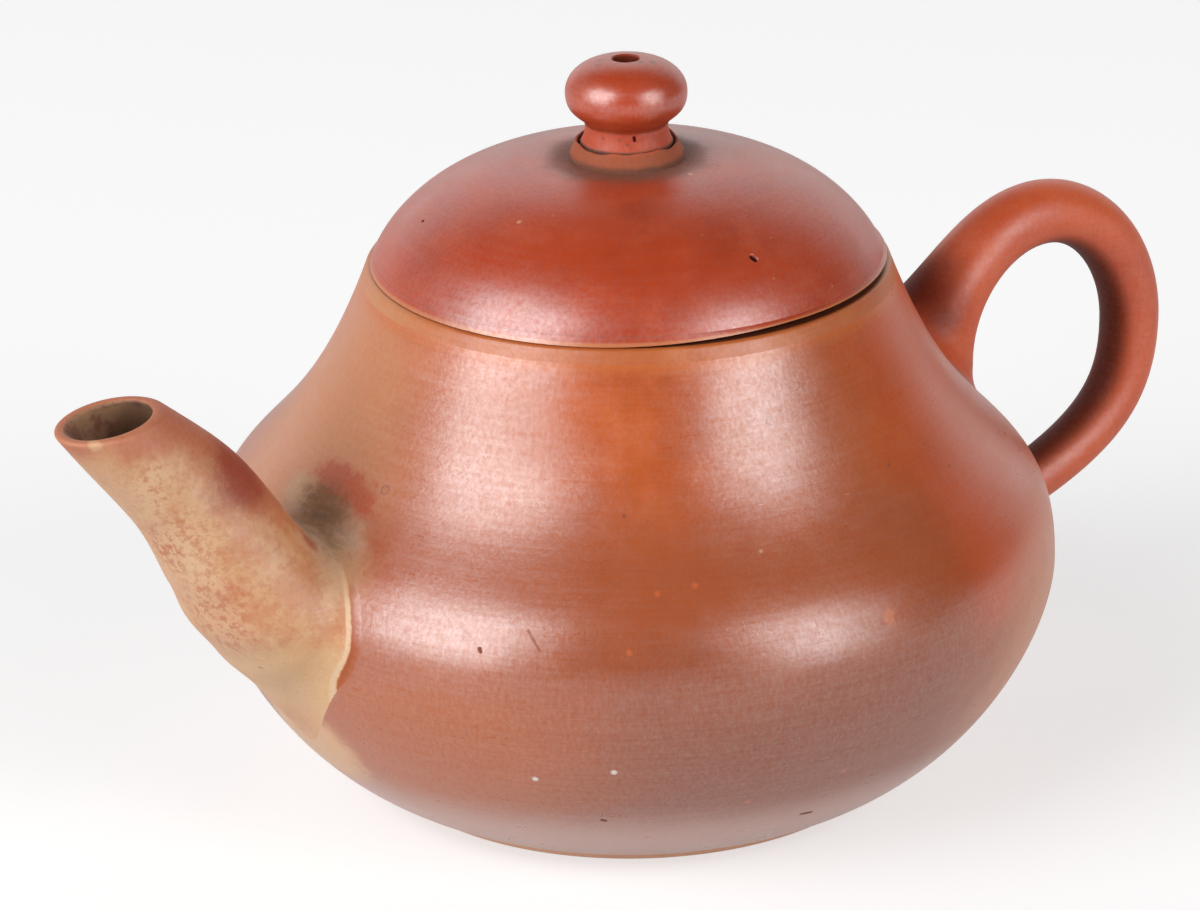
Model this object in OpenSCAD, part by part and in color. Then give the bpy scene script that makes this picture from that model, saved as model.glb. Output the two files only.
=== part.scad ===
// Small unglazed clay teapot: pear-shaped body on a low foot, rising spout, ear-shaped handle
// and a loose domed lid with a bun knob. Millimetres, the body's axis is Z, the table is z = 0,
// the spout points to -X and the handle to +X.

/* [Body] */
// Diameter of the body at the belly
belly_d = 76; // [70:1:84]
// Height of the belly above the table
belly_z = 19.7; // [17:0.1:23]
// Diameter of the body's flat underside
sole_d = 48.6; // [44:0.2:54]
// Height of the mouth above the table
mouth_z = 47.4; // [44:0.2:52]
// Outer diameter of the mouth
mouth_d = 46.2; // [44:0.2:50]
// How far the neck leans inwards at the mouth, from upright
neck_lean = 20.4; // [14:0.2:26]
// Thickness of the body wall
wall = 2.4; // [1.8:0.1:3]
// Thickness of the base disc
base_t = 2.6; // [2:0.1:3.4]
// Height of the foot ring
foot_h = 0.9; // [0.6:0.1:1.6]
// Outer diameter of the foot ring
foot_d = 46.8; // [42:0.2:49]
// Width of the foot ring
foot_w = 3; // [2:0.1:5]
// Side of the blank sunken square under the base
mark_side = 15; // [8:0.5:20]
// Height of the mouth ring
mouth_ring_h = 1.2; // [1:0.1:2.5]
// Width of the flat seat that the lid lies on
seat_w = 2.9; // [2.4:0.1:4]

/* [Strainer] */
// Diameter of a pierced hole behind the spout
hole_d = 2.6; // [1.6:0.1:3]
// Radius of the ring of holes around the middle one
hole_ring_r = 4; // [3.4:0.1:4.2]
// Number of holes in that ring
hole_n = 6; // [5:1:6]

/* [Lid] */
// How far the lid's rim stands back from the mouth's edge
lid_inset = 0.3; // [0:0.05:1]
// Height of the lid above the mouth
lid_h = 9.5; // [8:0.1:12]
// Thickness of the lid dome
lid_wall = 2.2; // [1.6:0.1:3]
// Thickness of the lid plate
plate_t = 0.9; // [0.6:0.1:1.6]
// Depth of the flange below the plate
flange_h = 6.5; // [4:0.1:9]
// Thickness of the flange
flange_t = 1.8; // [1.2:0.1:2.6]
// Clearance around the flange in the mouth
lid_clear = 0.35; // [0.3:0.05:0.6]
// Diameter of the vent hole through knob, collar and dome
vent_d = 2.2; // [1.5:0.1:3]

/* [Knob] */
// Diameter of the bun
knob_d = 10.7; // [9:0.1:14]
// Height of the knob above its collar
knob_h = 7.5; // [6:0.1:10]
// Diameter of the stem at its waist
stem_d = 7.3; // [6:0.1:8.2]
// Diameter of the collar
collar_d = 10; // [9.4:0.1:13]
// Height of the collar
collar_h = 1.4; // [1:0.1:2.2]

/* [Spout] */
// Distance of the spout's mouth centre from the body's axis
spout_reach = 52.5; // [49:0.2:57]
// Height of the spout's mouth above the table
spout_z = 44.7; // [41:0.1:48]
// Height at which the spout leaves the body
spout_root_z = 20.9; // [19:0.1:22.5]
// Half height and half width of the spout where it starts inside the wall
spout_root = [12.2, 10.5]; // [8:0.1:14]
// Half length and half width of the spout's mouth, outside
spout_lip = [5.2, 4.3]; // [3.5:0.05:6]
// Thickness of the spout wall at the root
spout_wall = 2; // [1.5:0.1:2.5]
// Thickness of the spout wall at the lip
lip_wall = 1.1; // [0.9:0.05:1.5]

/* [Handle] */
// Distance of the handle's outer edge from the body's axis
handle_reach = 61.1; // [57:0.1:66]
// Height of the handle's upper edge above the table
handle_z = 44.9; // [42:0.1:48]
// Height of the handle's outermost point
handle_mid_z = 29; // [26:0.2:32]
// Height at which the handle's upper end meets the body
handle_top_z = 30.6; // [28:0.2:33]
// Height at which the handle's lower end meets the body
handle_low_z = 12; // [10:0.2:15]
// Thickness of the handle at the body, at its top, at its side and at its lower end
handle_t = [12.6, 6, 5.5, 4.7]; // [4:0.1:14]

/* [Hidden] */
$fn = 96;
CLAY = "#a8492b";
RED_CLAY = "#a63a22";
PALE_CLAY = "#b98a66";
EDGE_CLAY = "#b8603a";
// Overshoot of a cutter
EPS = 0.2;
// Gap left where a swept piece is scribed to the round body
SCRIBE = 0.03;
// Chamfer of the edges at the lid's seam
SEAM = 0.25;
BELLY_R = belly_d / 2;
// How far inside the belly's line the spout, the handle's upper end and its lower end start
ROOT_IN = [0.21, 0.158, 0.079] * BELLY_R;
BASE_TOP = foot_h + base_t;
RING_Z = mouth_z - mouth_ring_h;
HOLES_Z = 1.05 * spout_root_z;
MOUTH_R = mouth_d / 2;
BORE_R = MOUTH_R - seat_w;
FLANGE_R = BORE_R - lid_clear;
FLANGE_IN_R = FLANGE_R - flange_t;
LID_R = MOUTH_R - lid_inset;
SEAT_R = collar_d / 2;
LID_TOP = mouth_z + lid_h;
COLLAR_TOP = LID_TOP + collar_h;
KNOB_TOP = COLLAR_TOP + knob_h;

// Curves
// A cubic curve through its two end points, pulled by the two points between them.
function bez(p, t) = p[0] * (1 - t)^3 + 3 * p[1] * t * (1 - t)^2 + 3 * p[2] * t^2 * (1 - t) + p[3] * t^3;
function bez_way(p, t) = (p[1] - p[0]) * (1 - t)^2 + 2 * (p[2] - p[1]) * t * (1 - t) + (p[3] - p[2]) * t^2;
function steps(n) = [for (i = [0 : n]) i / n];
function smooth(x) = let (w = max(0, min(1, x))) w * w * (3 - 2 * w);
// Points of a curve moved by d to the left of its way.
function beside(p, d, n) =
    [for (t = steps(n)) let (w = bez_way(p, t)) bez(p, t) + d * [-w.y, w.x] / norm(w)];
function without_last(list) = [for (i = [0 : len(list) - 2]) list[i]];
function flipped(list) = [for (i = [len(list) - 1 : -1 : 0]) list[i]];

// Body profile: from the sole out to the belly, then in to the mouth
LOWER_RISE = belly_z - foot_h;
UPPER_RISE = mouth_z - belly_z;
LOWER = [
    [sole_d / 2, foot_h],
    [sole_d / 2 + 0.5 * LOWER_RISE, foot_h + 0.24 * LOWER_RISE],
    [BELLY_R, belly_z - 0.21 * LOWER_RISE],
    [BELLY_R, belly_z]
];
UPPER = [
    [BELLY_R, belly_z],
    [BELLY_R, belly_z + 0.44 * UPPER_RISE],
    [MOUTH_R, mouth_z] + 0.79 * UPPER_RISE * [sin(neck_lean), -cos(neck_lean)],
    [MOUTH_R, mouth_z]
];
function body_side(inset) = concat(without_last(beside(LOWER, inset, 12)), beside(UPPER, inset, 18));

module body_outline(grow = 0) {
    side = body_side(-grow);
    polygon(concat([[0, side[0].y]], side, [[0, side[len(side) - 1].y]]));
}

// A flat slice of a profile between two heights
module between(low, high) {
    intersection() {
        children();
        translate([0, low]) square([belly_d, high - low]);
    }
}

module foot_ring() {
    edge = 0.25;
    outer = foot_d / 2;
    color(EDGE_CLAY) rotate_extrude()
        polygon([[outer - foot_w, foot_h], [outer - foot_w, edge], [outer - foot_w + edge, 0],
                 [outer - edge, 0], [outer, edge], [outer, foot_h]]);
}

module base_disc() {
    depth = 0.4;
    color(CLAY) difference() {
        rotate_extrude() between(foot_h, BASE_TOP) body_outline();
        translate([-mark_side / 2, -mark_side / 2, foot_h - EPS]) cube([mark_side, mark_side, depth + EPS]);
    }
}

module body_wall() {
    color(CLAY) difference() {
        rotate_extrude() between(BASE_TOP, RING_Z)
            polygon(concat(body_side(0), flipped(body_side(wall))));
        strainer();
    }
}

// Pierced holes that let the tea into the spout and hold the leaves back
module strainer() {
    ring = [for (i = [0 : hole_n - 1]) hole_ring_r * [cos(i * 360 / hole_n), sin(i * 360 / hole_n)]];
    for (spot = concat([[0, 0]], ring))
        translate([-BELLY_R - EPS, spot.x, HOLES_Z + spot.y])
            rotate([0, 90, 0]) cylinder(h = BELLY_R, d = hole_d);
}

module mouth_ring() {
    color(EDGE_CLAY) rotate_extrude() difference() {
        between(RING_Z, mouth_z) body_outline();
        translate([0, RING_Z - EPS]) square([BORE_R, mouth_ring_h + 2 * EPS]);
        polygon([[MOUTH_R - SEAM, mouth_z], [MOUTH_R + 1, mouth_z + 1], [MOUTH_R + 1, mouth_z - SEAM - 1]]);
    }
}

// Swept pieces
// A ring of points: its centre in the XZ plane, the rise of its normal, half height and half width.
function hoop(c, rise, half, n) =
    [for (k = [0 : n - 1]) let (u = half[0] * cos(k * 360 / n))
        [c.x + u * sin(rise), half[1] * sin(k * 360 / n), c.y + u * cos(rise)]];

// A solid through a row of rings
module through(hoops) {
    n = len(hoops[0]);
    last = len(hoops) - 1;
    sides = [for (i = [0 : last - 1], k = [0 : n - 1]) let (a = i * n + k, b = i * n + (k + 1) % n)
        each [[a, a + n, b], [b, a + n, b + n]]];
    ends = [[for (k = [0 : n - 1]) k], [for (k = [n - 1 : -1 : 0]) last * n + k]];
    polyhedron([for (h = hoops) each h], concat(sides, ends), convexity = 8);
}

module body_blank() {
    rotate_extrude() body_outline(SCRIBE);
}

// Spout: leaves the belly level, turns up and ends in a level oval mouth
SPOUT_GAP = spout_reach - BELLY_R;
SPOUT_RISE = spout_z - spout_root_z;
SPOUT_WAY = [
    [-BELLY_R + ROOT_IN[0], spout_root_z],
    [-BELLY_R - 0.25 * SPOUT_GAP, spout_root_z + 0.09 * SPOUT_RISE],
    [-BELLY_R - 0.03 * SPOUT_GAP, spout_root_z + 0.4 * SPOUT_RISE],
    [-spout_reach, spout_z]
];
function spout_half(t) =
    bez([
        spout_root,
        [0.2 * spout_root[0], spout_root[1]],
        [1.43 * spout_lip[0], 1.24 * spout_lip[1]],
        spout_lip
    ], t);
function spout_rise(t) = let (w = bez_way(SPOUT_WAY, t), own = atan2(w.y, -w.x))
    own + (90 - own) * smooth((t - 0.6) / 0.4);
function spout_skin(t) = spout_wall + (lip_wall - spout_wall) * t;

// Rings of the spout from its root to its rounded lip; side is 1 for the outside and -1 for the bore
function spout_hoops(side, n) =
    let (cut = side > 0 ? 0 : 1, round_r = lip_wall / 2, last = SPOUT_WAY[3] - [0, round_r])
    concat(
        [for (t = steps(26)) if (t < 0.97)
            hoop(bez(SPOUT_WAY, t), spout_rise(t), spout_half(t) - cut * spout_skin(t) * [1, 1], n)],
        [for (a = [0 : 30 : 90])
            let (inset = cut * lip_wall + side * round_r * (1 - cos(a)))
            hoop(last + [0, round_r * sin(a)], 90, spout_half(1) - inset * [1, 1], n)],
        side > 0 ? [] : [hoop(last + [0, 2], 90, spout_half(1) - 0.5 * lip_wall * [1, 1], n)]
    );

module spout() {
    color(PALE_CLAY) difference() {
        through(spout_hoops(1, 40));
        through(spout_hoops(-1, 32));
        body_blank();
    }
}

// Handle: rises from the shoulder, rounds out and runs back to the body under the belly
HANDLE_GAP = handle_reach - BELLY_R;
HANDLE_TOP = [BELLY_R + 0.37 * HANDLE_GAP, handle_z - handle_t[1] / 2];
HANDLE_OUT = [handle_reach - handle_t[2] / 2, handle_mid_z];
HANDLE_UP = HANDLE_TOP.y - handle_top_z;
HANDLE_DOWN = handle_mid_z - handle_low_z;
HANDLE_WAYS = [
    [
        [BELLY_R - ROOT_IN[1], handle_top_z],
        [BELLY_R - 0.4 * ROOT_IN[1], handle_top_z + 0.49 * HANDLE_UP],
        [BELLY_R + 0.09 * HANDLE_GAP, HANDLE_TOP.y],
        HANDLE_TOP
    ],
    [
        HANDLE_TOP,
        [BELLY_R + 0.65 * HANDLE_GAP, HANDLE_TOP.y],
        [HANDLE_OUT.x, handle_mid_z + 0.51 * (HANDLE_TOP.y - handle_mid_z)],
        HANDLE_OUT
    ],
    [
        HANDLE_OUT,
        [HANDLE_OUT.x, handle_mid_z - 0.51 * HANDLE_DOWN],
        [BELLY_R + 0.68 * HANDLE_GAP, handle_low_z + 0.26 * HANDLE_DOWN],
        [BELLY_R - ROOT_IN[2], handle_low_z]
    ]
];
function handle_hoops(part, n) =
    let (way = HANDLE_WAYS[part], from = handle_t[part], to = handle_t[part + 1])
    [for (t = steps(16)) if (part == 2 || t < 1)
        let (w = bez_way(way, t), half = (from + (to - from) * (part == 0 ? 1 - (1 - t)^4 : t)) / 2)
        hoop(bez(way, t), atan2(w.y, -w.x), [half, 1.06 * half], n)];

module handle() {
    color(RED_CLAY) difference() {
        through(concat(handle_hoops(0, 28), handle_hoops(1, 28), handle_hoops(2, 28)));
        body_blank();
    }
}

// Lid profile: from the rim up and over to the flat seat of the knob
LID_SIDE = [
    [LID_R, mouth_z],
    [LID_R - 0.033 * LID_R, mouth_z + 0.245 * lid_h],
    [SEAT_R + 0.71 * (LID_R - SEAT_R), LID_TOP],
    [SEAT_R, LID_TOP]
];

module lid_outline() {
    polygon(concat([[0, mouth_z]], beside(LID_SIDE, 0, 20), [[0, LID_TOP]]));
}

module lid_hollow() {
    inner = beside(LID_SIDE, lid_wall, 20);
    polygon(concat([[0, mouth_z - EPS], [inner[0].x, mouth_z - EPS]], inner, [[0, LID_TOP - lid_wall]]));
}

module lid_flange() {
    edge = 0.5;
    low = mouth_z - flange_h;
    color(RED_CLAY) rotate_extrude()
        polygon([[FLANGE_IN_R, low], [FLANGE_R - edge, low], [FLANGE_R, low + edge],
                 [FLANGE_R, mouth_z], [FLANGE_IN_R, mouth_z]]);
}

module lid_plate() {
    color(EDGE_CLAY) rotate_extrude() difference() {
        between(mouth_z, mouth_z + plate_t) lid_outline();
        translate([0, mouth_z - EPS]) square([FLANGE_IN_R, plate_t + 2 * EPS]);
        polygon([[LID_R - SEAM, mouth_z], [LID_R + 1, mouth_z + SEAM + 1], [LID_R + 1, mouth_z - 1]]);
    }
}

module lid_dome() {
    color(RED_CLAY) difference() {
        rotate_extrude() between(mouth_z + plate_t, LID_TOP) difference() {
            lid_outline();
            lid_hollow();
        }
        vent(LID_TOP - lid_wall, LID_TOP);
    }
}

module vent(low, high) {
    translate([0, 0, low - EPS]) cylinder(h = high - low + 2 * EPS, d = vent_d);
}

module knob_collar() {
    edge = 0.4;
    color(RED_CLAY) difference() {
        rotate_extrude()
            polygon([[0, LID_TOP], [SEAT_R, LID_TOP], [SEAT_R, LID_TOP + collar_h - 2 * edge],
                     [SEAT_R - edge, COLLAR_TOP], [0, COLLAR_TOP]]);
        vent(LID_TOP, COLLAR_TOP);
    }
}

// Knob: a waisted stem that swells into a flat bun
KNOB_R = knob_d / 2;
WAIST = [stem_d / 2, COLLAR_TOP + 0.2 * knob_h];
BUN_Z = COLLAR_TOP + 0.6 * knob_h;
STEM_FOOT = [0.56 * stem_d, COLLAR_TOP];
STEM_SIDE = [STEM_FOOT, STEM_FOOT + [-0.05 * stem_d, 0.08 * knob_h], WAIST - [0, 0.07 * knob_h], WAIST];
BUN_LOW = [WAIST, WAIST + [0, 0.14 * knob_h], [KNOB_R, BUN_Z - 0.28 * knob_h], [KNOB_R, BUN_Z]];
BUN_TOP = [[KNOB_R, BUN_Z], [KNOB_R, BUN_Z + 0.26 * knob_h], [0.6 * KNOB_R, KNOB_TOP], [vent_d / 2, KNOB_TOP]];

module knob() {
    side = concat(
        without_last(beside(STEM_SIDE, 0, 5)),
        without_last(beside(BUN_LOW, 0, 10)),
        beside(BUN_TOP, 0, 12)
    );
    color(RED_CLAY) difference() {
        rotate_extrude() polygon(concat([[0, COLLAR_TOP]], side, [[0, KNOB_TOP]]));
        vent(COLLAR_TOP, KNOB_TOP);
    }
}

foot_ring();
base_disc();
body_wall();
mouth_ring();
spout();
handle();
lid_flange();
lid_plate();
lid_dome();
knob_collar();
knob();
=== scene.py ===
import bisect
import functools
import math

import bmesh
import bpy
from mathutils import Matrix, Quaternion, Vector
from mathutils.geometry import interpolate_bezier


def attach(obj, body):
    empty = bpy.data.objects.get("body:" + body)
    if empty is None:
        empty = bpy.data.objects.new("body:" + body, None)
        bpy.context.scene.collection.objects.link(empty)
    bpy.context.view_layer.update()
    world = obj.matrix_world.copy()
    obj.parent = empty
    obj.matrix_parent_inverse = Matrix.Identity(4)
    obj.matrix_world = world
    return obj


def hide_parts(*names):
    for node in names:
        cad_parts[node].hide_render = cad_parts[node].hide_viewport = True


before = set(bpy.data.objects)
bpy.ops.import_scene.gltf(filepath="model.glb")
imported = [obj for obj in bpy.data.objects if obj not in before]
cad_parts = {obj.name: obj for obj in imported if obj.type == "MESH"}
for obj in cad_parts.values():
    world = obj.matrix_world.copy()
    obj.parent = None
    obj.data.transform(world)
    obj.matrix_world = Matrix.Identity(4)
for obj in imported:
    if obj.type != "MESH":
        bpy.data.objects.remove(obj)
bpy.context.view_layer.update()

# Small red clay teapot. Lengths are in millimetres until a mesh is finished; the pot's axis is Z,
# the spout points to -X and the handle to +X.
MM = 0.001
FULL_TURN = 2 * math.pi

# Body
SOLE_R, FOOT_Z = 24.3, 0.9
BELLY_R, BELLY_Z = 38.0, 19.7
MOUTH_R, MOUTH_Z = 23.1, 47.4
WALL, BASE_TOP, RING_Z, BORE_R = 2.4, 3.5, 46.2, 20.2
FOOT_OUT_R, FOOT_IN_R = 23.4, 20.4
BODY_LOWER = ((SOLE_R, FOOT_Z), (33.7, 5.412), (BELLY_R, 15.752), (BELLY_R, BELLY_Z))
BODY_UPPER = ((BELLY_R, BELLY_Z), (BELLY_R, 31.888), (30.728, 26.889), (MOUTH_R, MOUTH_Z))
# Strainer behind the spout
HOLES_Z, HOLE_R, HOLE_RING_R, HOLE_COUNT = 21.945, 1.3, 4.0, 6
MARK_SIDE, MARK_DEPTH = 15.0, 0.4
# Lid and knob
LID_R, LID_TOP, LID_WALL, PLATE_TOP = 22.8, 56.9, 2.2, 48.3
FLANGE_R, FLANGE_IN_R, FLANGE_Z = 19.85, 18.05, 40.9
SEAT_R, COLLAR_TOP, KNOB_TOP, VENT_R = 5.0, 58.3, 65.8, 1.1
LID_SIDE = ((LID_R, MOUTH_Z), (22.048, 49.728), (17.638, LID_TOP), (SEAT_R, LID_TOP))
STEM_SIDE = ((4.088, COLLAR_TOP), (3.723, 58.9), (3.65, 59.275), (3.65, 59.8))
BUN_LOW = ((3.65, 59.8), (3.65, 60.85), (5.35, 60.7), (5.35, 62.8))
BUN_TOP = ((5.35, 62.8), (5.35, 64.75), (3.21, KNOB_TOP), (VENT_R, KNOB_TOP))
# Spout and handle: centre lines in the plane y = 0
SPOUT_WAY = ((-30.02, 20.9), (-41.625, 23.042), (-38.435, 30.42), (-52.5, 44.7))
SPOUT_HALF = ((12.2, 10.5), (2.44, 10.5), (7.436, 5.332), (4.75, 4.25))
SPOUT_SKIN, LIP_SKIN = 2.0, 1.1
LIP_SLANT, LIP_END, SPOUT_LEAN, KEEL = 0.15, 0.988, 0.5, 0.38
# Hollows and swellings of the spout's underside: (t, reach in t, depth)
SPOUT_UNDER = ((0.77, 0.2, 0.73), (0.45, 0.13, -0.42), (0.2, 0.12, 0.5))
HANDLE_TOP, HANDLE_OUT = (46.547, 41.9), (58.35, 29.0)
HANDLE_WAYS = (
    ((31.996, 30.6), (35.598, 36.137), (40.079, 41.9), HANDLE_TOP),
    (HANDLE_TOP, (53.015, 41.9), (58.35, 35.579), HANDLE_OUT),
    (HANDLE_OUT, (58.35, 20.33), (53.708, 16.42), (34.998, 12.0)),
)
HANDLE_THICK = (12.6, 6.0, 5.5, 4.7)


# Curves
def bend(curve, count):
    """Points along a cubic curve given by four pairs."""
    ends = [Vector((a, 0.0, b)) for a, b in curve]
    return [(p.x, p.z) for p in interpolate_bezier(*ends, count)]


def bend_at(curve, t):
    return tuple(
        a * (1 - t) ** 3 + 3 * b * t * (1 - t) ** 2 + 3 * c * t * t * (1 - t) + d * t**3
        for a, b, c, d in zip(*curve)
    )


def heading(curve, t):
    """Direction of a centre line, as the angle of its rise above -X."""
    a, b, c, d = (Vector(p) for p in curve)
    way = (b - a) * (1 - t) ** 2 + (c - b) * 2 * t * (1 - t) + (d - c) * t * t
    return math.atan2(way.y, -way.x)


def smooth(x):
    x = min(1.0, max(0.0, x))
    return x * x * (3 - 2 * x)


def mix(a, b, t):
    return a + (b - a) * t


def beside(line, gap):
    """A line of (radius, height) points moved sideways, to the left of its way."""
    moved = []
    for i, (r, z) in enumerate(line):
        (r0, z0), (r1, z1) = line[max(0, i - 1)], line[min(len(line) - 1, i + 1)]
        way = Vector((r1 - r0, z1 - z0)).normalized()
        moved.append((r - gap * way.y, z + gap * way.x))
    return moved


def between(line, low, high):
    """The part of a rising line between two heights."""
    kept = []
    for (r0, z0), (r1, z1) in zip(line, line[1:]):
        for level in (low, high):
            if z0 < level < z1:
                kept.append((mix(r0, r1, (level - z0) / (z1 - z0)), level))
        if low <= z1 <= high:
            kept.append((r1, z1))
    if low <= line[0][1] <= high:
        kept.insert(0, line[0])
    kept.sort(key=lambda p: p[1])
    return kept


BODY_SIDE = bend(BODY_LOWER, 56)[:-1] + bend(BODY_UPPER, 84)
BODY_INSIDE = beside(BODY_SIDE, WALL)
BODY_FINE = bend(BODY_LOWER, 300)[:-1] + bend(BODY_UPPER, 500)
BODY_FINE_Z = [z for _, z in BODY_FINE]


def body_r(z):
    """Radius of the body's outside at a height."""
    i = min(len(BODY_FINE) - 1, max(1, bisect.bisect(BODY_FINE_Z, z)))
    (r0, z0), (r1, z1) = BODY_FINE[i - 1], BODY_FINE[i]
    return mix(r0, r1, (z - z0) / (z1 - z0))


def body_normal(p):
    slope = (body_r(p.z + 0.05) - body_r(p.z - 0.05)) / 0.1
    out = Vector((p.x, p.y, 0)).normalized()
    return (out - Vector((0, 0, slope))).normalized()


def onto_body(p, lift=0.0):
    """The point of the body's outside level with p."""
    out = Vector((p.x, p.y, 0)).normalized() * body_r(p.z)
    return Vector((out.x, out.y, p.z)) + body_normal(p) * lift


# Clay finishes
def tint(code):
    """Linear colour of a hex code."""
    parts = [int(code[i : i + 2], 16) / 255 for i in (1, 3, 5)]
    return [c / 12.92 if c < 0.04045 else ((c + 0.055) / 1.055) ** 2.4 for c in parts] + [1.0]


# Refraction of the fired clay, the polish of a well rubbed piece and how dull its dullest grains are
CLAY_IOR, POLISH, DULLEST = 1.9, 0.65, -0.4
SMOOTHEST, ROUGHEST = 0.24, 0.95
LACUNARITY = 2.31
# Sand in the clay: (size of its cells, tone, shift of the pattern, share of cells without a grain)
SAND = (2.0, "#c9885e", 3, 0.84), (1.7, "#6a3322", 17, 0.86)


class Clay:
    """A fired clay finish. Its patterns lie on the piece's own place, in millimetres."""

    def __init__(self, name, deep, mid, bright, gloss, shine=1.0):
        self.material = bpy.data.materials.new(name)
        self.material.use_nodes = True
        self.tree = self.material.node_tree
        self.tree.nodes.clear()
        self.shader = self.node("ShaderNodeBsdfPrincipled")
        surface = self.node("ShaderNodeOutputMaterial")
        self.feed(surface.inputs["Surface"], self.shader.outputs["BSDF"])
        where = self.node("ShaderNodeTexCoord")
        self.place = self.vector("SCALE", where.outputs["Object"], 1 / MM)
        apart = self.node("ShaderNodeSeparateXYZ")
        self.feed(apart.inputs[0], self.place)
        self.x, self.y, self.z = apart.outputs
        self.radius = self.vector("LENGTH", self.vector("MULTIPLY", self.place, (1, 1, 0)))
        # Clouds of the firing, then smaller patches, the sandy grain, the burnisher's streaks and rubbing
        cloud = self.noise(14, detail=4, rough=0.55)
        patch = self.noise(3.4, detail=5, rough=0.6, shift=31)
        grains = self.noise(0.3, 4, 0.65, shift=7), self.noise(0.41, 4, 0.65, shift=27)
        grain = self.times(self.add(*grains), 0.5)
        streak = self.noise(8, detail=5, rough=0.65, stretch=(1, 1, 26), shift=53)
        rubbing = self.noise(0.34, detail=4, rough=0.7, stretch=(1, 1, 0.3), shift=71)
        self.patch, self.deep, self.bright = patch, deep, bright
        self.colour = self.blend(tint(deep), tint(mid), self.band(cloud, 0.35, 0.6))
        self.paint(bright, self.band(patch, 0.45, 0.75), 0.5)
        self.speckle = [self.times(self.band(grain, 0.5, end), 0.3) for end in (0.7, 0.3)]
        # The polish is broken by the grain
        broken = self.add(self.swing(rubbing, 1.1), self.swing(grain, 2.2), self.swing(streak, 0.9))
        self.polish = POLISH * shine
        self.sheen = self.times(self.add(self.most(broken, DULLEST), 1.0), self.polish)
        self.rough = self.add(
            self.swing(patch, 0.2), self.swing(grain, 0.1), self.add(self.swing(streak, 0.1), gloss)
        )
        self.height = self.add(
            self.times(grain, 0.011),
            self.times(self.noise(9, shift=13), 0.05),
            self.add(self.times(streak, 0.006), self.times(rubbing, 0.008), self.times(patch, 0.012)),
        )
        self.sand()

    # Nodes
    def node(self, kind, **settings):
        made = self.tree.nodes.new(kind)
        for key, value in settings.items():
            setattr(made, key, value)
        return made

    def feed(self, socket, value):
        """Gives a socket a number, a colour or another node's output."""
        if isinstance(value, bpy.types.NodeSocket):
            self.tree.links.new(value, socket)
        else:
            socket.default_value = value

    def maths(self, operation, a, b=0.0):
        made = self.node("ShaderNodeMath", operation=operation)
        self.feed(made.inputs[0], a)
        self.feed(made.inputs[1], b)
        return made.outputs[0]

    def add(self, *parts):
        return functools.reduce(functools.partial(self.maths, "ADD"), parts)

    def sub(self, a, b):
        return self.maths("SUBTRACT", a, b)

    def times(self, *parts):
        return functools.reduce(functools.partial(self.maths, "MULTIPLY"), parts)

    def most(self, *parts):
        return functools.reduce(functools.partial(self.maths, "MAXIMUM"), parts)

    def swing(self, pattern, amount):
        """A pattern's ups and downs about its middle."""
        return self.times(self.sub(pattern, 0.5), amount)

    def vector(self, operation, a, b=None):
        """Vector maths; a length and a dot product come out as numbers."""
        made = self.node("ShaderNodeVectorMath", operation=operation)
        self.feed(made.inputs[0], a)
        if b is not None:
            self.feed(made.inputs["Scale" if operation == "SCALE" else 1], b)
        return made.outputs["Value" if operation in ("LENGTH", "DOT_PRODUCT") else "Vector"]

    def clamp(self, value, low=0.0, high=1.0):
        made = self.node("ShaderNodeClamp")
        for name, given in (("Value", value), ("Min", low), ("Max", high)):
            self.feed(made.inputs[name], given)
        return made.outputs["Result"]

    def band(self, value, low, high):
        """0 at low, 1 at high, eased between them."""
        made = self.node("ShaderNodeMapRange", interpolation_type="SMOOTHSTEP")
        for name, given in (("Value", value), ("From Min", low), ("From Max", high)):
            self.feed(made.inputs[name], given)
        return made.outputs["Result"]

    def close_to(self, value, at, reach, full):
        """1 within full of a value, 0 past reach."""
        return self.band(self.maths("ABSOLUTE", self.sub(value, at)), reach, full)

    def mapped(self, scale, shift):
        """The piece's place, scaled, shifted and turned for one pattern."""
        made = self.node("ShaderNodeMapping")
        turn = 0.6 + 0.1 * shift, 0.4 + 0.23 * shift, 0.9 + 0.37 * shift
        for name, given in (
            ("Scale", scale), ("Location", (shift, shift * 0.7, shift * 1.3)),
            ("Rotation", turn), ("Vector", self.place),
        ):
            self.feed(made.inputs[name], given)
        return made.outputs["Vector"]

    def noise(self, size, detail=2, rough=0.5, stretch=(1, 1, 1), shift=0):
        """Noise with lumps of a size in millimetres; stretch above 1 makes them flatter that way."""
        made = self.node("ShaderNodeTexNoise")
        place = self.mapped([s / size for s in stretch], shift)
        for name, given in (
            ("Scale", 1.0), ("Detail", detail), ("Roughness", rough),
            ("Lacunarity", LACUNARITY), ("Vector", place),
        ):
            self.feed(made.inputs[name], given)
        return made.outputs["Fac"]

    def blend(self, a, b, mask):
        made = self.node("ShaderNodeMix", data_type="RGBA")
        self.feed(made.inputs["Factor"], mask)
        self.feed(made.inputs[6], a)
        self.feed(made.inputs[7], b)
        return made.outputs[2]

    def mark(self, name):
        """A mark that was left on the mesh when it was shaped."""
        return self.node("ShaderNodeAttribute", attribute_name=name).outputs["Fac"]

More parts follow.
